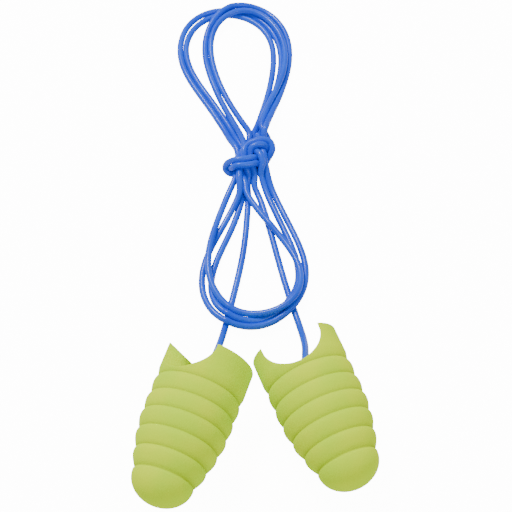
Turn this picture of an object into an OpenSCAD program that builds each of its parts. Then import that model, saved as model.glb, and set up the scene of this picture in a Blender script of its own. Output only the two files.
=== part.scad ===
// Corded foam ear plugs: two ringed plugs lying on a table, joined by one soft cord
// that is folded into loops and tied round itself.

/* [Plug] */
// Largest diameter of a plug, over its rings
plug_d = 13.5; // [12:0.1:15]
// Length of a plug, from the nose to the base
plug_l = 23.7; // [23.5:0.1:26]
// Diameter of the round nose
nose_d = 9.3; // [8.9:0.1:9.8]
// Length of the round nose, up to its widest place
nose_l = 3.8; // [3.4:0.1:3.9]
// Number of rings between the nose and the base
ring_n = 5; // [4:1:5]
// Distance from one groove to the next
ring_pitch = 2.8; // [2.7:0.02:2.9]
// Depth of the groove between two rings
groove_depth = 0.4; // [0.2:0.05:0.7]

/* [Base] */
// Radius of the finger scoop across the base
scoop_r = 4.6; // [4.3:0.1:5]
// How far the middle of that scoop lies inside the end of the base
scoop_inset = 0.35; // [0:0.05:0.6]
// Diameter of the blind hole for the cord
hole_d = 1.9; // [1.7:0.1:2.4]
// Depth of that hole below the bottom of the scoop
hole_depth = 4; // [3:0.5:6]

/* [Cord] */
// Diameter of the cord
cord_d = 1.1; // [1:0.05:1.2]
// Height of the layers of cord in the loops
loop_h = 2.6; // [2.3:0.1:3]
// Height of the knot
knot_h = 4.4; // [4:0.1:5]

/* [Hidden] */

plug_r = plug_d / 2;
turn_facets = 64;

// Where each plug lies: centre of its base, heading of its axis and roll about it
left_base = [-6.72, 9.03];
left_heading = -19;
left_roll = -31.5;
right_base = [5.83, 11.18];
right_heading = 21.8;
right_roll = -12;

// Rings: the first groove is behind the nose, and the last one ends the base section
first_groove = 4.1;
base_start = first_groove + ring_n * ring_pitch;
taper_l = 13.45;
taper_share = 0.54;
taper_power = 1.8;
ring_steps = 8;
nose_steps = 10;
rim_round = 0.15;
scoop_depth = scoop_r + scoop_inset;

// Envelope of the crests: it tapers towards the nose
function crest_r(s) = plug_r * (1 - taper_share * pow(max(0, taper_l - s) / taper_l, taper_power));
// A ring swells slowly from the groove in front of it and falls steeply at its back
function swell(u) = pow(sin(180 * pow(u, 1.5)), 0.6);
function ring_r(s, u) = crest_r(s) - groove_depth * (1 - swell(u));

nose_outline = [
  for (i = [0 : nose_steps])
    let (a = 90 * i / nose_steps)
    [nose_d / 2 * sin(a), nose_l * (1 - cos(a))]
];
ring_outline = [
  for (k = [0 : ring_n - 1], i = [0 : ring_steps - 1])
    let (u = i / ring_steps, s = first_groove + (k + u) * ring_pitch)
    [ring_r(s, u), s]
];
base_outline = concat(
  [for (u = [0, 0.08, 0.2, 0.4]) [ring_r(base_start, u), base_start + u * ring_pitch]],
  [
    for (a = [0 : 22.5 : 90])
      [plug_r - rim_round * (1 - cos(a)), plug_l - rim_round * (1 - sin(a))]
  ]
);
hole_bottom = plug_l - scoop_depth - hole_depth;
hole_outline = [
  [hole_d / 2, plug_l],
  [hole_d / 2, hole_bottom],
  [0, hole_bottom]
];

// Cord: route of each tail from its plug to the knot, and the outlines of the loops
cord_sides = 8;
tail_z = cord_d / 2;
knot_bottom = 45.8;
knot_top = 53;
left_route = [
  [-7.6, 6.5, 6.75], [-6.85, 8.3, 6.5], [-6.3, 9.8, 5.8], [-6, 11.2, 4.8],
  [-5.8, 12.5, 3.6], [-5.7, 13.7, 2.2], [-5.55, 14.7, 1.2], [-5.3, 15.9, 0.65],
  [-5, 17.1, tail_z], [-4.25, 20.5, tail_z], [-3.55, 23.5, tail_z], [-2.6, 28, tail_z],
  [-1.85, 32.5, tail_z], [-1.5, 37, tail_z], [-1.5, 41, tail_z], [-1.5, knot_bottom, tail_z]
];
right_route = [
  [7.8, 8.3, 6.65], [8, 9.7, 6.2], [8.05, 11.1, 5.1], [8.05, 12.3, 3.7],
  [7.95, 13.5, 2.3], [7.75, 14.6, 1.2], [7.45, 15.9, 0.65], [7.15, 17, tail_z],
  [6.8, 18.1, tail_z], [6.2, 20.3, tail_z], [5.3, 23.5, tail_z], [4.2, 28, tail_z],
  [2.95, 33, tail_z], [2.2, 37, tail_z], [1.35, 40, tail_z], [0.6, 42, tail_z],
  [0.1, 43.5, tail_z], [0.1, knot_bottom, tail_z]
];
channel_w = 1.8;
channel_h = 1.4;

module place(base, heading, roll) {
  translate([base[0], base[1], plug_r])
    rotate([0, 0, heading])
    rotate([-90, 0, 0])
    rotate([0, 0, roll])
    translate([0, 0, -plug_l])
    children();
}

module plug() {
  difference() {
    rotate_extrude($fn = turn_facets)
      polygon(concat(nose_outline, ring_outline, base_outline, hole_outline));
    translate([0, 0, plug_l - scoop_inset])
      rotate([90, 0, 0])
      cylinder(h = 2 * plug_d, r = scoop_r, center = true, $fn = turn_facets);
  }
}

// Adhesive that fills the hole round the end of the cord
module bond() {
  translate([0, 0, hole_bottom])
    difference() {
      cylinder(h = hole_depth, d = hole_d, $fn = 32);
      translate([0, 0, -1])
        cylinder(h = hole_depth + 2, d = cord_d + 0.02, $fn = 32);
    }
}

// Points on the axis of a plug, measured from its nose
function on_axis(base, heading, s) = [
  base[0] + sin(heading) * (plug_l - s),
  base[1] - cos(heading) * (plug_l - s),
  plug_r
];
function tail_points(base, heading, route) = concat(
  [for (s = [hole_bottom, plug_l - scoop_depth]) on_axis(base, heading, s)],
  route
);

function unit(v) = v / norm(v);
function ahead(p, i) = unit(p[min(i + 1, len(p) - 1)] - p[max(i - 1, 0)]);
function ring(centre, along) =
  let (side = unit(cross(along, [0, 0, 1])), up = cross(side, along))
  [
    for (k = [0 : cord_sides - 1])
      let (a = 360 * k / cord_sides)
      centre + cord_d / 2 * (cos(a) * side + sin(a) * up)
  ];

module tube(p) {
  last = (len(p) - 1) * cord_sides;
  polyhedron(
    points = [for (i = [0 : len(p) - 1]) each ring(p[i], ahead(p, i))],
    faces = concat(
      [[for (k = [0 : cord_sides - 1]) k]],
      [
        for (i = [0 : cord_sides : last - 1], k = [0 : cord_sides - 1])
          let (n = (k + 1) % cord_sides)
          [i + k, i + cord_sides + k, i + cord_sides + n, i + n]
      ],
      [[for (k = [cord_sides - 1 : -1 : 0]) last + k]]
    )
  );
}

module left_plug() {
  color([0.87, 0.96, 0.1])
    place(left_base, left_heading, left_roll)
    plug();
}

module right_plug() {
  color([0.87, 0.96, 0.1])
    place(right_base, right_heading, right_roll)
    plug();
}

module left_cord_bond() {
  color([0.6, 0.8, 0.5])
    place(left_base, left_heading, left_roll)
    bond();
}

module right_cord_bond() {
  color([0.6, 0.8, 0.5])
    place(right_base, right_heading, right_roll)
    bond();
}

module cord_left_tail() {
  color([0.16, 0.4, 0.82])
    tube(tail_points(left_base, left_heading, left_route));
}

module cord_right_tail() {
  color([0.16, 0.4, 0.82])
    tube(tail_points(right_base, right_heading, right_route));
}

// A channel over a tail, as wide as the cord has room to shift in
module channel(route) {
  linear_extrude(height = channel_h)
    polygon(concat(
      [for (i = [0 : len(route) - 1]) [route[i][0] - channel_w / 2, route[i][1]]],
      [for (i = [len(route) - 1 : -1 : 0]) [route[i][0] + channel_w / 2, route[i][1]]]
    ));
}

// Three turns of cord between the plugs and the knot, which pass over both tails
module cord_lower_loops() {
  color([0.16, 0.4, 0.82])
    difference() {
      linear_extrude(height = loop_h)
        difference() {
          hull() {
            translate([-0.25, 26.1])
              circle(r = 9.3, $fn = turn_facets);
            translate([-4.7, knot_bottom - 0.5])
              square([8.2, 0.5]);
          }
          hull() {
            translate([-0.3, 26.3])
              circle(r = 5.6, $fn = turn_facets);
            translate([0.4, 38.5])
              circle(r = 0.6, $fn = 24);
          }
        }
      translate([0, 0, -0.01])
        channel(left_route);
      translate([0, 0, -0.01])
        channel(right_route);
    }
}

module cord_knot() {
  color([0.13, 0.34, 0.75])
    linear_extrude(height = knot_h)
    offset(r = 2, $fn = 32)
    translate([-3.5, knot_bottom + 2])
    square([4.5, knot_top - knot_bottom - 4]);
}

// Four turns of cord above the knot, in two bands that cross at the far end
module cord_upper_loops() {
  color([0.16, 0.4, 0.82])
    linear_extrude(height = loop_h)
    difference() {
      hull() {
        translate([-3.85, 75.1])
          circle(r = 10.65, $fn = turn_facets);
        translate([-5.4, knot_top])
          square([7.1, 0.5]);
      }
      hull() {
        translate([-2.5, 75.8])
          circle(r = 4.8, $fn = turn_facets);
        translate([-1, 57])
          circle(r = 0.3, $fn = 24);
      }
      hull() {
        translate([-11, 76])
          circle(r = 1.2, $fn = 24);
        translate([-6.6, 61.5])
          circle(r = 0.3, $fn = 24);
      }
    }
}

left_plug();
right_plug();
left_cord_bond();
right_cord_bond();
cord_left_tail();
cord_right_tail();
cord_lower_loops();
cord_knot();
cord_upper_loops();
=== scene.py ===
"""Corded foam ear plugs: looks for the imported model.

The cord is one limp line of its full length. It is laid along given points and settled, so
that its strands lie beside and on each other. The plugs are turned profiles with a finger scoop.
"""
import math

import bmesh
import bpy
import numpy as np
from mathutils import Matrix, Vector


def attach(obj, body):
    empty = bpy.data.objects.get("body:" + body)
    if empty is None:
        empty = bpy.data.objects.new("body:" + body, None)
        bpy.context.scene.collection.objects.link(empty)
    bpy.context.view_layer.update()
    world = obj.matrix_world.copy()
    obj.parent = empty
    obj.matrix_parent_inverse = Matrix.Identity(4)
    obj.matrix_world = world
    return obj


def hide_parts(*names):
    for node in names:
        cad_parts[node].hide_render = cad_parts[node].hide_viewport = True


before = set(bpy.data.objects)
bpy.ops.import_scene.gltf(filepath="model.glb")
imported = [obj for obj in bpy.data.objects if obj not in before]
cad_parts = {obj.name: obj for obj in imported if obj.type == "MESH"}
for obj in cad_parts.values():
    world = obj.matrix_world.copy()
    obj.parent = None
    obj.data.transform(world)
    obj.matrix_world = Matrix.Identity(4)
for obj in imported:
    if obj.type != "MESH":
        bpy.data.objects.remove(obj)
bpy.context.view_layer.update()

MM = 0.001
scene = bpy.context.scene

# ---------------------------------------------------------------- sizes, in millimetres
CORD_D = 1.1
PLUG_D = 13.5
PLUG_L = 23.7
NOSE_D = 9.3
NOSE_L = 3.8
RING_N = 5
RING_PITCH = 2.8
FIRST_GROOVE = 4.1
GROOVE_DEPTH = 0.4
SCOOP_R = 4.6
SCOOP_INSET = 0.35
SCOOP_DEPTH = SCOOP_R + SCOOP_INSET
HOLE_D = 1.9
HOLE_DEPTH = 4.0
RIM_ROUND = 0.15
TAPER_L = 13.45
TAPER_SHARE = 0.54
TAPER_POWER = 1.8
# How bright the white floor and surroundings show to the camera alone, and what they light with
FLOOR_GLOW = 13.0
ROOM_LIGHT = 0.55
# centre of the base, heading of the axis and roll about it, as the CAD has them
PLUGS = {
    "left": ((-6.72, 9.03), -19.0, -31.5),
    "right": ((5.83, 11.18), 21.8, -12.0),
}


# ---------------------------------------------------------------- camera
def make_camera():
    """A long lens that looks down at the cord, between the plugs and the knot."""
    target = Vector((0.05, 31.0, 0.0)) * MM
    elevation = math.radians(60.0)
    distance = 190.0 * MM
    data = bpy.data.cameras.new("camera")
    data.sensor_width = 36.0
    data.lens = 80.9
    data.clip_start = 0.01
    camera = bpy.data.objects.new("camera", data)
    scene.collection.objects.link(camera)
    back = Vector((0.0, -math.cos(elevation), math.sin(elevation)))
    camera.location = target + back * distance
    camera.rotation_euler = (math.pi / 2 - elevation, 0.0, 0.0)
    scene.camera = camera


make_camera()


# ---------------------------------------------------------------- cord
def on_axis(side, s):
    """A point on a plug's axis, s millimetres from its nose."""
    base, heading, _ = PLUGS[side]
    a = math.radians(heading)
    return (
        base[0] + math.sin(a) * (PLUG_L - s),
        base[1] - math.cos(a) * (PLUG_L - s),
        PLUG_D / 2,
    )


# The knot's bends are tight, and the loops away from it are smooth
KNOT_MIDDLE = (-1.3, 49.4)
KNOT_REACH = 5.0
KNOT_STIFF = 0.1
LOOP_STIFF = 60.0
# Spacing of the points while the cord settles, and of those in its finished curve
SETTLE_STEP = 0.45
CURVE_STEP = 0.3

# Given points, in millimetres, in the order that the cord takes them from the left plug
LEFT_TAIL = [
    (-7.6, 6.5, 6.75), (-6.85, 8.3, 6.5), (-6.3, 9.8, 5.8), (-6, 11.2, 4.8),
    (-5.8, 12.5, 3.6), (-5.7, 13.7, 2.2), (-5.55, 14.7, 1.2), (-5.3, 15.9, 0.65),
    (-5, 17.1, 0.55), (-4.25, 20.5, 0.55), (-3.55, 23.5, 0.55), (-2.6, 28, 0.55),
    (-1.85, 32.5, 0.55), (-1.5, 37, 0.55), (-1.5, 41, 0.55), (-1.5, 43.4, 0.7),
    (-1.6, 44.9, 1.1),
]
KNOT_WRAP_1 = [
    (-1.8, 46.2, 1.6), (-2, 47.6, 1.8), (-2.1, 48.6, 2.3), (-2, 49.5, 3), (-1.5, 50.5, 3.5),
    (-0.7, 51.1, 3.8), (0.2, 51.5, 3.9), (1, 51.3, 3.8), (1.5, 50.7, 3.3), (1.7, 50, 2.5),
    (1.6, 49.3, 1.5), (1.1, 48.6, 0.8), (0.2, 48.2, 0.55), (-1.2, 47.9, 0.55),
    (-2.5, 47.8, 0.55), (-3.5, 47.7, 0.8), (-4.1, 47.7, 1.6), (-4, 47.7, 2.7),
    (-3.5, 47.7, 3.4), (-2.6, 47.8, 3.8), (-1.5, 47.9, 3.8), (-0.5, 48.5, 3.4),
    (0.2, 49.3, 2.6), (0.8, 50.3, 2), (1.1, 51.4, 1.8), (1.3, 52.6, 1.8), (1.4, 54, 1.9),
]
UPPER_1 = [
    (1.4, 58, 1.8), (2.1, 60.5, 1.6), (4, 65.5, 1.35), (5.1, 69.5, 1.3), (5.4, 73, 1.3),
    (4.8, 76, 1.35), (3.5, 79, 1.4), (1.9, 81.2, 1.4), (-0.6, 83.2, 1.45), (-3.1, 83.4, 1.5),
    (-5.6, 82, 1.65), (-7.3, 80, 1.65), (-8.2, 78, 1.4), (-8.4, 75, 1.2), (-8, 72, 0.6),
    (-7.05, 68, 0.55), (-5.3, 63.4, 0.55), (-4.25, 61, 0.7), (-2.6, 58.2, 1.3),
    (-1, 54.8, 1.9),
]
CROSS_1 = [
    (-0.4, 53, 1.9), (-0.55, 51.2, 1.7), (-0.6, 49, 1.7), (-1.6, 47.2, 1.3), (-2.3, 45.2, 1.3),
]
LOWER_1 = [
    (-2.4, 42, 1.2), (-2.6, 39.5, 0.8), (-3.7, 36, 0.55), (-5, 33, 0.55),
    (-6.2, 30, 0.55), (-7, 28, 0.55), (-7.55, 26, 0.55), (-7.2, 24.3, 0.55),
    (-6.6, 22.4, 0.7), (-5.7, 20.7, 1.2), (-4.6, 19.3, 1.65), (-2.6, 18.6, 1.2),
    (-0.6, 18.4, 0.6), (1.6, 18.7, 0.7), (3.3, 19.7, 0.9), (4.7, 20.9, 1.6),
    (5.7, 22.5, 1.3), (6.7, 24.2, 0.6), (7.2, 26, 0.55), (7.3, 28, 0.55), (6.8, 29.5, 0.55),
    (5.9, 32, 0.55), (4.8, 35, 0.55), (3.7, 38, 0.55), (2.15, 42, 0.9), (1.45, 44.6, 1.3),
]
CROSS_2 = [
    (0.9, 46, 1.9), (0.8, 46.6, 2.6), (0.7, 47.5, 3.1), (0.5, 48.7, 3.1), (0.4, 50.1, 2.8),
    (0.3, 51.8, 2.3), (0, 53.3, 1.9), (0.1, 54.6, 1.7), (0.7, 57.8, 0.9),
]
UPPER_2 = [
    (1.8, 61, 0.55), (2.5, 65, 0.55), (2.8, 68.5, 0.55), (3.1, 72, 0.55), (3.2, 75, 0.55),
    (2.5, 78.2, 0.55), (1.1, 80.5, 0.55), (-1, 82, 0.55), (-3.1, 82.7, 0.55),
    (-5.6, 82.9, 0.55), (-8.3, 82.3, 0.55), (-10.3, 81.2, 0.55), (-11.7, 79.3, 0.55),
    (-12.6, 77, 0.55), (-13, 75, 0.55), (-12.8, 72, 0.55), (-12.1, 69.5, 0.55),
    (-10.7, 67, 0.55), (-8.5, 63.4, 0.55), (-6.8, 61, 0.55), (-5.5, 58.2, 0.6),
    (-4, 54.8, 1.2),
]
CROSS_3 = [
    (-2.1, 51.2, 1.7), (-1.9, 49, 1.7), (-2, 47, 1.8), (-1.9, 44.8, 2.1), (-1.7, 42.6, 2.1),
]
LOWER_2 = [
    (-0.7, 40.4, 1.65), (0.9, 38, 1.65), (2.2, 35.9, 1.65), (3.9, 34, 1.2), (5.3, 32, 1.2),
    (6.5, 30, 1.5), (7.4, 28, 1.5), (7.6, 26, 1.5), (7.1, 24.1, 1.5), (6.1, 22.2, 2.2),
    (5, 20.7, 2.5), (3.3, 19.5, 1.8), (1.5, 19.2, 1.2), (-0.3, 19.2, 1.2), (-2.4, 19.3, 1.2),
    (-5, 20.5, 1.2), (-6.8, 23, 1.2), (-7.5, 25.4, 1.7), (-7.6, 27, 2.2), (-7.9, 30, 2.4),
    (-7.2, 33, 1.8), (-6.1, 38, 1.2), (-4.3, 43, 1.7),
]
CROSS_4 = [
    (-3.6, 44.8, 1.9), (-3.2, 45.9, 1.8), (-3, 47.4, 1.7), (-3, 49.4, 1.7),
    (-3.2, 51.6, 1.8),
]
UPPER_3 = [
    (-4.9, 54.8, 1.1), (-6.3, 58.2, 0.6), (-7.7, 61, 0.55), (-9.4, 63.4, 0.55),
    (-11.9, 68, 0.55), (-13.2, 70.5, 0.55), (-13.8, 74, 0.55), (-13.75, 76.5, 0.55),
    (-12.8, 80, 0.55), (-11.3, 82.1, 0.55), (-9, 83.6, 0.55), (-6.6, 84, 0.55),
    (-4.6, 83.8, 0.55), (-3.1, 83.6, 0.55), (-0.9, 82.6, 0.55), (1.4, 80.7, 0.55),
    (3.2, 78.3, 0.55), (4.4, 75.5, 0.55), (4.85, 72, 0.55), (4.7, 68.5, 0.55),
    (3.7, 65, 0.55), (2.5, 60.5, 0.9),
]
CROSS_5 = [
    (1, 55.8, 1.8), (0.7, 53.8, 1.9), (0.8, 52.3, 2.2), (0.7, 50.6, 2.8), (0.9, 49.1, 3.2),
    (1.2, 47.7, 3.1), (1.7, 46.8, 2.3), (2.2, 45.4, 1.6),
]
LOWER_3 = [
    (3.6, 41.5, 0.55), (5.25, 37, 0.55), (7.25, 32.5, 0.55), (8.1, 30, 0.55),
    (8.5, 28.3, 0.55), (8.3, 26, 0.55), (7.5, 24, 0.55), (6.4, 22.1, 0.7), (5.6, 20.3, 1.5),
    (3.8, 18.7, 1), (1.8, 17.7, 0.6), (-1.1, 17.3, 0.55), (-3.2, 17.3, 1.2), (-5.4, 18.3, 1.65),
    (-7.4, 20.7, 0.7), (-8.6, 23.5, 0.55), (-8.9, 25.5, 0.55), (-8.8, 27.5, 0.55),
    (-8.1, 30.5, 0.55), (-7, 33, 0.55), (-5.7, 35.5, 0.55), (-4.5, 38, 0.9),
    (-3.1, 40.2, 1.7),
]
CROSS_6 = [
    (-2.5, 42.6, 2.2), (-2.6, 44.8, 2.6), (-2.6, 46.8, 2.7), (-2.4, 48.8, 2.7),
    (-1.9, 50.6, 2.6),
]
UPPER_4 = [
    (-2.9, 54.8, 2), (-4.3, 58.2, 1.4), (-5.7, 61, 0.8), (-6.5, 63.2, 0.55),
    (-7.7, 67.5, 0.55), (-9, 72, 0.55), (-9.4, 75.5, 0.55), (-9, 78, 0.7),
    (-8.1, 80.6, 1.4), (-6.5, 82.8, 1.65), (-4.8, 84.3, 1.2), (-2.6, 84.9, 0.55),
    (-0.1, 84.6, 0.55), (2.2, 83.5, 0.55), (3.8, 81.9, 0.55), (5.1, 79.4, 0.55),
    (5.9, 76.5, 0.55), (6.2, 74, 0.55), (5.8, 70, 0.55), (4.4, 65.5, 0.55), (2.7, 62, 0.9),
    (1.7, 58.5, 1.5), (1.2, 55.5, 2),
]
KNOT_WRAP_2 = [
    (0.8, 53.9, 1.9), (0.7, 52.6, 1.7), (0.6, 51.3, 1.6), (0.6, 50.1, 1.6), (0.5, 48.9, 1.9),
    (0.2, 47.9, 2.5), (-0.3, 47.3, 3.1), (-1.1, 46.8, 3.5), (-2.3, 46.7, 3.6), (-3.3, 46.8, 3),
    (-3.6, 46.9, 2), (-3.4, 47.7, 1.1), (-2.8, 48.6, 0.55), (-1.7, 49, 0.55), (-0.1, 49.1, 0.55),
    (0.7, 49.3, 0.6), (1.2, 49.6, 1.1), (1.3, 50.1, 1.9), (1.2, 50.4, 2.9), (0.8, 50.6, 3.5),
    (0.2, 50.6, 3.7), (-0.4, 50.3, 3.5), (-0.9, 49.7, 3.1), (-1.1, 48.8, 2.7), (-1, 47.6, 2.5),
    (-0.8, 46.4, 1.9), (-0.5, 44.8, 1.3),
]
RIGHT_TAIL = [
    (0.1, 43, 0.7), (0.6, 42, 0.55), (1.35, 40, 0.55), (2.2, 37, 0.55),
    (2.95, 33, 0.55), (4.2, 28, 0.55), (5.3, 23.5, 0.55), (6.2, 20.3, 0.55),
    (6.8, 18.1, 0.55), (7.15, 17, 0.55), (7.45, 15.9, 0.65), (7.75, 14.6, 1.2),
    (7.95, 13.5, 2.3), (8.05, 12.3, 3.7), (8.05, 11.1, 5.1), (8, 9.7, 6.2),
    (7.8, 8.3, 6.65),
]


def smooth_line(points, step):
    """Points a step apart along a centripetal Catmull-Rom curve through the given ones."""
    p = np.array(points, float)
    p = np.vstack([2 * p[0] - p[1], p, 2 * p[-1] - p[-2]])
    dense = []
    for a, b, c, d in zip(p[:-3], p[1:-2], p[2:-1], p[3:]):
        t = np.cumsum([0.0] + [max(np.linalg.norm(v), 1e-6) ** 0.5 for v in (b - a, c - b, d - c)])
        u = np.linspace(t[1], t[2], 24, endpoint=False)[:, None]
        ab = (a * (t[1] - u) + b * (u - t[0])) / (t[1] - t[0])
        bc = (b * (t[2] - u) + c * (u - t[1])) / (t[2] - t[1])
        cd = (c * (t[3] - u) + d * (u - t[2])) / (t[3] - t[2])
        left = (ab * (t[2] - u) + bc * (u - t[0])) / (t[2] - t[0])
        right = (bc * (t[3] - u) + cd * (u - t[1])) / (t[3] - t[1])
        dense.append((left * (t[2] - u) + right * (u - t[1])) / (t[2] - t[1]))
    dense = np.vstack(dense + [p[-2][None]])
    return evenly(dense, step)


def evenly(p, step):
    """The same line with its points evenly a step apart."""
    s = np.concatenate([[0.0], np.cumsum(np.linalg.norm(np.diff(p, axis=0), axis=1))])
    n = int(round(s[-1] / step)) + 1
    at = np.linspace(0.0, s[-1], n)
    return np.stack([np.interp(at, s, p[:, k]) for k in range(3)], axis=1)


def near_pairs(p, reach, skip):
    """Pairs of points of one line that are within reach and more than skip steps apart."""
    out = []
    for i in range(0, len(p), 200):
        d = np.linalg.norm(p[i:i + 200, None] - p[None], axis=2)
        a, b = np.nonzero(d < reach)
        a = a + i
        keep = b - a > skip
        out.append(np.stack([a[keep], b[keep]], axis=1))
    return np.vstack(out)


def settle(p, d, held, stiff, rounds=160):
    """Push strands apart to a diameter, keep them on the table and smooth the bends.

    Each round takes one implicit step of bending, with its own stiffness at each point, and a
    weak pull to the given line. Then strands that overlap are moved apart.
    """
    target = p.copy()
    n = len(p)
    pull = 0.02
    step = np.linalg.norm(np.diff(p, axis=0), axis=1).mean()
    # points nearer than this along the cord belong to one bend, and don't count as touching
    skip = int(math.ceil(2.2 * d / step))
    bend = np.zeros((n - 2, n))
    rows = np.arange(n - 2)
    bend[rows, rows] = 1
    bend[rows, rows + 1] = -2
    bend[rows, rows + 2] = 1
    weight = np.full(n, pull)
    weight[held] = 1e4
    solver = np.linalg.inv(np.diag(1 + weight) + bend.T @ (stiff[1:-1, None] * bend))
    for k in range(rounds):
        p = solver @ (p + weight[:, None] * target)
        p[:, 2] -= np.where(held, 0.0, 0.004)
        if k % 5 == 0:
            pairs = near_pairs(p, 1.6 * d, skip)
        for _ in range(4):
            i, j = pairs.T
            v = p[j] - p[i]
            dist = np.linalg.norm(v, axis=1)
            hit = dist < d
            i, j, v, dist = i[hit], j[hit], v[hit], dist[hit]
            push = v * (0.5 * (d - dist) / np.maximum(dist, 1e-6))[:, None]
            move = np.zeros_like(p)
            count = np.zeros(n)
            np.add.at(move, i, -push)
            np.add.at(move, j, push)
            np.add.at(count, i, 1)
            np.add.at(count, j, 1)
            move /= np.maximum(count, 1)[:, None]
            p[~held] += move[~held]
            p[:, 2] = np.maximum(p[:, 2], d / 2)
    return p


def cord_line():
    """The settled centre line, from the bottom of one plug's hole to the other's."""
    ends = {
        side: [on_axis(side, s) for s in (PLUG_L - SCOOP_DEPTH - HOLE_DEPTH, PLUG_L - SCOOP_DEPTH)]
        for side in PLUGS
    }
    points = (
        ends["left"] + LEFT_TAIL + KNOT_WRAP_1 + UPPER_1 + CROSS_1 + LOWER_1 + CROSS_2
        + UPPER_2 + CROSS_3 + LOWER_2 + CROSS_4 + UPPER_3 + CROSS_5 + LOWER_3 + CROSS_6
        + UPPER_4 + KNOT_WRAP_2 + RIGHT_TAIL + ends["right"][::-1]
    )
    line = smooth_line(points, SETTLE_STEP)
    inside = int((HOLE_DEPTH + 0.5) / SETTLE_STEP)
    held = np.zeros(len(line), bool)
    held[:inside] = True
    held[-inside:] = True
    middle = np.array(KNOT_MIDDLE)
    away = np.linalg.norm(line[:, :2] - middle, axis=1)
    loose = np.clip((away - KNOT_REACH) / KNOT_REACH, 0.0, 1.0)
    stiff = KNOT_STIFF * (LOOP_STIFF / KNOT_STIFF) ** loose
    return settle(line, CORD_D, held, stiff)


def make_cord():
    """One curve of the cord's own thickness along the settled line."""
    line = evenly(cord_line(), CURVE_STEP)
    data = bpy.data.curves.new("cord", "CURVE")
    data.dimensions = "3D"
    data.bevel_depth = 1.0
    data.bevel_resolution = 5
    data.use_fill_caps = True
    spline = data.splines.new("POLY")
    spline.points.add(len(line) - 1)
    co = np.ones((len(line), 4), np.float32)
    co[:, :3] = line * MM
    spline.points.foreach_set("co", co.ravel())
    spline.points.foreach_set("radius", np.full(len(line), CORD_D / 2 * MM, np.float32))
    cord = bpy.data.objects.new("cord", data)
    scene.collection.objects.link(cord)
    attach(cord, "root")
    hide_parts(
        "cord_left_tail", "cord_right_tail", "cord_lower_loops", "cord_knot",
        "cord_upper_loops",
    )
    length = np.linalg.norm(np.diff(line, axis=0), axis=1).sum()
    print("cord length mm", round(float(length), 1))
    return cord


cord = make_cord()


# ---------------------------------------------------------------- plugs
def crest_r(s):
    """Radius of the envelope of the rings' crests, which tapers towards the nose."""
    return PLUG_D / 2 * (1 - TAPER_SHARE * (max(0.0, TAPER_L - s) / TAPER_L) ** TAPER_POWER)


def swell(u):
    """How far out a ring stands, from the groove in front of it (u = 0) to the next (u = 1)."""
    return math.sin(math.pi * u ** 1.5) ** 0.6 if 0 < u < 1 else 0.0


def profile():
    """(radius, distance from the nose) from the tip of the nose to the rim of the base."""
    out = [(0.0, 0.0)]
    for i in range(1, 25):
        a = math.pi / 2 * i / 24
        out.append((NOSE_D / 2 * math.sin(a), NOSE_L * (1 - math.cos(a))))
    for k in range(RING_N):
        for i in range(28):
            u = i / 28
            s = FIRST_GROOVE + (k + u) * RING_PITCH
            out.append((crest_r(s) - GROOVE_DEPTH * (1 - swell(u)), s))
    start = FIRST_GROOVE + RING_N * RING_PITCH
    for u in (0, 0.03, 0.06, 0.1, 0.15, 0.2, 0.3, 0.4):
        out.append((PLUG_D / 2 - GROOVE_DEPTH * (1 - swell(u)), start + u * RING_PITCH))
    for s in np.linspace(start + 1.4, PLUG_L - RIM_ROUND - 0.1, 10):
        out.append((PLUG_D / 2, s))
    for i in range(9):
        a = math.pi / 2 * i / 8
        radius = PLUG_D / 2 - RIM_ROUND * (1 - math.cos(a))
        out.append((radius, PLUG_L - RIM_ROUND * (1 - math.sin(a))))
    return out


def plug_matrix(side):
    """Carries a plug that stands on its nose, in millimetres, to where it lies, in metres."""
    base, heading, roll = PLUGS[side]
    return (
        Matrix.Translation(Vector((base[0], base[1], PLUG_D / 2)) * MM)
        @ Matrix.Rotation(math.radians(heading), 4, "Z")
        @ Matrix.Rotation(math.radians(-90), 4, "X")
        @ Matrix.Rotation(math.radians(roll), 4, "Z")
        @ Matrix.Translation(Vector((0, 0, -PLUG_L)) * MM)
        @ Matrix.Scale(MM, 4)
    )


def finish_mesh(name, bm, matrix):
    """A smooth-shaded object from a merged mesh with outward faces, on the root body."""
    bmesh.ops.remove_doubles(bm, verts=bm.verts, dist=1e-4)
    bmesh.ops.transform(bm, matrix=matrix, verts=bm.verts)
    bmesh.ops.recalc_face_normals(bm, faces=bm.faces)
    mesh = bpy.data.meshes.new(name)
    bm.to_mesh(mesh)
    bm.free()
    for f in mesh.polygons:
        f.use_smooth = True
    obj = bpy.data.objects.new(name, mesh)
    scene.collection.objects.link(obj)
    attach(obj, "root")
    return obj


def turned(points, segments=128):
    """A closed outline of (radius, height) spun about its axis."""
    bm = bmesh.new()
    verts = [bm.verts.new((r, 0.0, s)) for r, s in points]
    edges = [bm.edges.new(pair) for pair in zip(verts[:-1], verts[1:])]
    bmesh.ops.spin(
        bm, geom=verts + edges, cent=(0, 0, 0), axis=(0, 0, 1), angle=2 * math.pi,
        steps=segments, use_merge=True, use_duplicate=False,
    )
    bmesh.ops.remove_doubles(bm, verts=bm.verts, dist=1e-4)
    return bm


def cylinder(name, radius, depth, matrix):
    """A cutting tool, which cut() removes once it has been used."""
    bm = bmesh.new()
    bmesh.ops.create_cone(
        bm, cap_ends=True, segments=96, radius1=radius, radius2=radius, depth=depth,
        matrix=matrix,
    )
    mesh = bpy.data.meshes.new(name)
    bm.to_mesh(mesh)
    bm.free()
    obj = bpy.data.objects.new(name, mesh)
    scene.collection.objects.link(obj)
    return obj


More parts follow.
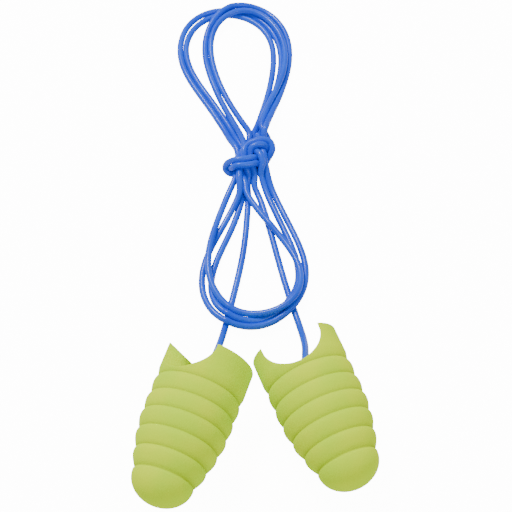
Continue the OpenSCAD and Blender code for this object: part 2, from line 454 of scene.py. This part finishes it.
def cut(obj, cutter):
    """Take the cutter's shape out of an object, and delete the cutter."""
    mod = obj.modifiers.new("cut", "BOOLEAN")
    mod.operation = "DIFFERENCE"
    mod.solver = "EXACT"
    mod.object = cutter
    graph = bpy.context.evaluated_depsgraph_get()
    mesh = bpy.data.meshes.new_from_object(obj.evaluated_get(graph))
    obj.modifiers.clear()
    obj.data = mesh
    bpy.data.objects.remove(cutter)


def mark_grooves(bm):
    """Store how deep in a groove each point of the turned surface is, from 0 to 1, for the foam's
    painted groove shade.
    """
    layer = bm.verts.layers.float.new("groove")
    for v in bm.verts:
        deep = crest_r(v.co.z) - math.hypot(v.co.x, v.co.y)
        if NOSE_L < v.co.z < PLUG_L - 1.5 and deep < 1.1 * GROOVE_DEPTH:
            v[layer] = max(0.0, deep / GROOVE_DEPTH) ** 3


def make_plug(side):
    """A turned plug with its finger scoop and the blind hole for the cord cut out."""
    name = side + "_plug"
    bm = turned(profile() + [(0.0, PLUG_L)])
    bmesh.ops.recalc_face_normals(bm, faces=bm.faces)
    mesh = bpy.data.meshes.new(name)
    bm.to_mesh(mesh)
    bm.free()
    obj = bpy.data.objects.new(name + "_foam", mesh)
    scene.collection.objects.link(obj)
    crosswise = Matrix.Rotation(math.pi / 2, 4, "X")
    scoop_place = Matrix.Translation((0, 0, PLUG_L - SCOOP_INSET)) @ crosswise
    cut(obj, cylinder("scoop_cutter", SCOOP_R, 2 * PLUG_D, scoop_place))
    middle = PLUG_L - SCOOP_DEPTH - HOLE_DEPTH / 2
    cut(obj, cylinder("hole_cutter", HOLE_D / 2, HOLE_DEPTH, Matrix.Translation((0, 0, middle))))
    bm = bmesh.new()
    bm.from_mesh(obj.data)
    bpy.data.objects.remove(obj)
    mark_grooves(bm)
    plug = finish_mesh(name + "_foam", bm, plug_matrix(side))
    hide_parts(name)
    return plug


plugs = {side: make_plug(side) for side in PLUGS}


# ---------------------------------------------------------------- materials
class Wire:
    """A value in a shader: arithmetic on it adds Math nodes to its tree."""

    def __init__(self, look, socket):
        self.look = look
        self.socket = socket

    def math(self, operation, *values):
        return self.look.node("ShaderNodeMath", {"operation": operation}, dict(enumerate(values)))

    def __add__(self, other):
        return self.math("ADD", self, other)

    def __mul__(self, other):
        return self.math("MULTIPLY", self, other)

    __radd__ = __add__
    __rmul__ = __mul__


class Look:
    """One finish: a Principled shader, its fixed values and the nodes that vary it."""

    def __init__(self, name, **fixed):
        self.material = bpy.data.materials.new(name)
        self.material.use_nodes = True
        self.tree = self.material.node_tree
        self.shader = self.tree.nodes["Principled BSDF"]
        for socket, value in fixed.items():
            self.shader.inputs[socket.replace("_", " ")].default_value = value

    def node(self, kind, settings=None, inputs=None, output=0):
        node = self.tree.nodes.new(kind)
        for key, value in (settings or {}).items():
            setattr(node, key, value)
        for key, value in (inputs or {}).items():
            self.feed(node.inputs[key], value)
        return Wire(self, node.outputs[output])

    def feed(self, socket, value):
        if isinstance(value, Wire):
            self.tree.links.new(value.socket, socket)
        else:
            socket.default_value = value

    def drive(self, **inputs):
        for name, value in inputs.items():
            self.feed(self.shader.inputs[name.replace("_", " ")], value)

    def noise(self, scale, detail=2.0, rough=0.5):
        place = self.node("ShaderNodeTexCoord", output="Object")
        return self.node(
            "ShaderNodeTexNoise", None,
            {"Vector": place, "Scale": scale, "Detail": detail, "Roughness": rough},
        )

    def mix(self, share, low, high):
        """The colour low where share is 0 and high where it is 1."""
        return self.node(
            "ShaderNodeMix", {"data_type": "RGBA"}, {0: share, 6: low, 7: high}, output=2,
        )

    def spread(self, value, low, high):
        """The value with low stretched to 0 and high to 1, clamped."""
        return self.node(
            "ShaderNodeMapRange", None,
            {"Value": value, "From Min": low, "From Max": high, "To Min": 0.0, "To Max": 1.0},
        )

    def bump(self, height, distance, strength):
        return self.node(
            "ShaderNodeBump", None,
            {"Height": height, "Distance": distance, "Strength": strength},
        )


def foam_look():
    """Slow-rebound foam: matt, very bright, with a fine skin of pores and painted shade darkening
    its grooves.
    """
    foam = Look("plug_foam", Specular_IOR_Level=0.06, Roughness=0.85)
    bright = (0.76, 1.0, 0.001, 1)
    green = (0.64, 0.98, 0.001, 1)
    # painted shade: the darker colour that the grooves are painted towards
    painted_groove_shade = (0.40, 0.56, 0.001, 1)
    patches = foam.spread(foam.noise(170.0, 3.0), 0.35, 0.65)
    groove = foam.node("ShaderNodeAttribute", {"attribute_name": "groove"}, output="Fac")
    pores = foam.node(
        "ShaderNodeTexVoronoi", None,
        {"Vector": foam.node("ShaderNodeTexCoord", output="Object"), "Scale": 5200.0},
    )
    skin = foam.mix(patches, bright, green)
    foam.drive(
        # painted shade: the deeper a point lies in a groove, the more of the darker colour it gets
        Base_Color=foam.mix(groove * 0.8, skin, painted_groove_shade),
        Roughness=0.78 + foam.noise(900.0) * 0.16,
        Normal=foam.bump(foam.noise(1500.0, 4.0, 0.6) + pores * 0.35, 0.00012, 0.35),
    )
    return foam.material


def vinyl_look():
    """Soft extruded vinyl: a clear gloss over a deep blue, with faint draw marks."""
    vinyl = Look(
        "cord_vinyl", Specular_IOR_Level=0.3, Roughness=0.3, Coat_Roughness=0.12,
    )
    cloud = vinyl.spread(vinyl.noise(260.0, 2.0), 0.3, 0.7)
    vinyl.drive(
        Base_Color=vinyl.mix(cloud, (0.004, 0.07, 0.80, 1), (0.012, 0.11, 0.92, 1)),
        Roughness=0.24 + vinyl.noise(1400.0) * 0.14,
        Coat_Weight=0.08 + cloud * 0.12,
        Normal=vinyl.bump(vinyl.noise(700.0, 3.0), 0.00004, 0.25),
    )
    return vinyl.material


def glue_look():
    """Clear set adhesive, tinted by the foam round it."""
    glue = Look("bond_adhesive", Specular_IOR_Level=0.5, Roughness=0.2)
    cloud = glue.noise(1200.0, 3.0)
    glue.drive(
        Base_Color=glue.mix(cloud, (0.26, 0.5, 0.16, 1), (0.42, 0.66, 0.2, 1)),
        Roughness=0.14 + cloud * 0.18,
        Normal=glue.bump(cloud, 0.0001, 0.3),
    )
    return glue.material


def floor_look():
    """A flat white floor. Its glow is seen by the camera alone, so it lights nothing."""
    floor = Look("floor", Roughness=0.95, Specular_IOR_Level=0.05)
    floor.drive(Base_Color=(0.95, 0.95, 0.95, 1))
    seen = floor.node("ShaderNodeLightPath", output="Is Camera Ray")
    glow = floor.node(
        "ShaderNodeEmission", None, {"Color": (1, 1, 1, 1), "Strength": seen * FLOOR_GLOW},
    )
    lit = Wire(floor, floor.shader.outputs[0])
    both = floor.node("ShaderNodeAddShader", None, {0: lit, 1: glow})
    floor.feed(floor.tree.nodes["Material Output"].inputs["Surface"], both)
    return floor.material


foam = foam_look()
vinyl = vinyl_look()
glue = glue_look()
for plug in plugs.values():
    plug.data.materials.clear()
    plug.data.materials.append(foam)
cord.data.materials.append(vinyl)
for node in ("left_cord_bond", "right_cord_bond"):
    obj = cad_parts[node]
    obj.data.materials.clear()
    obj.data.materials.append(glue)


# ---------------------------------------------------------------- floor and lights
# Where both lights aim, in metres: at the cord, between the plugs and the knot
LIT_POINT = (0.0, 0.03, 0.0)


def make_floor():
    """A flat square three metres wide, on which the part lies."""
    bm = bmesh.new()
    bmesh.ops.create_grid(bm, x_segments=1, y_segments=1, size=1.5)
    mesh = bpy.data.meshes.new("floor")
    bm.to_mesh(mesh)
    bm.free()
    floor = bpy.data.objects.new("floor", mesh)
    scene.collection.objects.link(floor)
    floor.data.materials.append(floor_look())


def area_light(name, place, size, power):
    """A round soft light, in metres and watts, aimed at LIT_POINT."""
    data = bpy.data.lights.new(name, "AREA")
    data.shape = "DISK"
    data.size = size
    data.energy = power
    light = bpy.data.objects.new(name, data)
    scene.collection.objects.link(light)
    light.location = Vector(place)
    towards = Vector(LIT_POINT) - light.location
    light.rotation_euler = towards.to_track_quat("-Z", "Y").to_euler()


def make_world():
    """Even white surroundings: dim as a light, and as white as the floor to the camera."""
    world = bpy.data.worlds.new("world")
    world.use_nodes = True
    tree = world.node_tree
    path = tree.nodes.new("ShaderNodeLightPath")
    strength = tree.nodes.new("ShaderNodeMapRange")
    strength.inputs["To Min"].default_value = ROOM_LIGHT
    strength.inputs["To Max"].default_value = FLOOR_GLOW + 1.0
    tree.links.new(path.outputs["Is Camera Ray"], strength.inputs["Value"])
    tree.links.new(strength.outputs[0], tree.nodes["Background"].inputs["Strength"])
    tree.nodes["Background"].inputs["Color"].default_value = (1, 1, 1, 1)
    scene.world = world


make_floor()
area_light("key", (-0.18, 0.3, 0.5), size=0.16, power=2.9)
area_light("fill", (0.3, -0.3, 0.45), size=0.3, power=0.7)
make_world()
